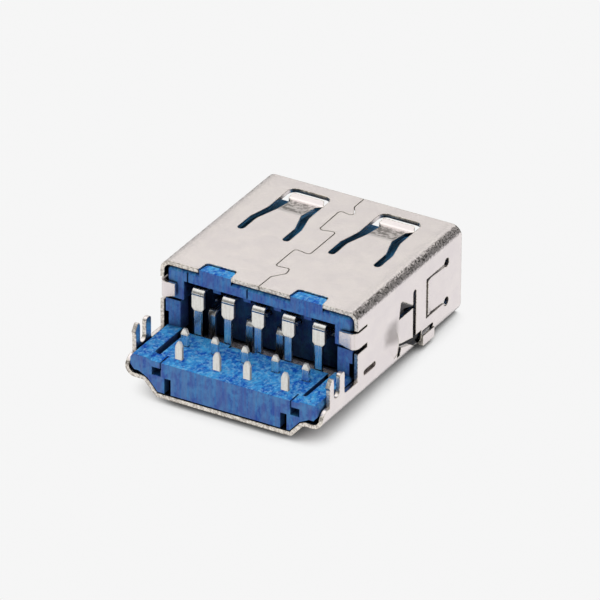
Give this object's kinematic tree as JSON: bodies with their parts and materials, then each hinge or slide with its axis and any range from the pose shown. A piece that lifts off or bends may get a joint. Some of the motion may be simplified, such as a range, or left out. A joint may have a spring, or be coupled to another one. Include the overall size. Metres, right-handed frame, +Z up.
{
  "type": "usb-a socket",
  "caption": "Right-angle USB 3.0 Type-A receptacle: folded metal shell with a dovetail seam, blue housing with a contact tongue, blue tail spacer and forked board-lock legs.",
  "frame": {"origin": "under the middle of the socket, at the underside of the rear tray, the lowest point of the part as it lies with its solder pins up", "axes": "+X to the right seen from behind, +Y out of the plug mouth, +Z up along the solder pins and board-lock legs"},
  "size_m": [0.0136, 0.0162, 0.0066],
  "materials": {
    "nickel_shell": "satin nickel plate",
    "blue_plastic": "matte moulded, fine texture",
    "contact_metal": "bright tin plate on a copper alloy"
  },
  "bodies": {
    "root": {"shell": "nickel_shell", "housing": "blue_plastic", "tail_spacer": "blue_plastic", "superspeed_contact_1": "contact_metal", "superspeed_contact_2": "contact_metal", "superspeed_contact_3": "contact_metal", "superspeed_contact_4": "contact_metal", "superspeed_contact_5": "contact_metal", "usb2_contact_1": "contact_metal", "usb2_contact_2": "contact_metal", "usb2_contact_3": "contact_metal", "usb2_contact_4": "contact_metal"}
  },
  "joints": []
}
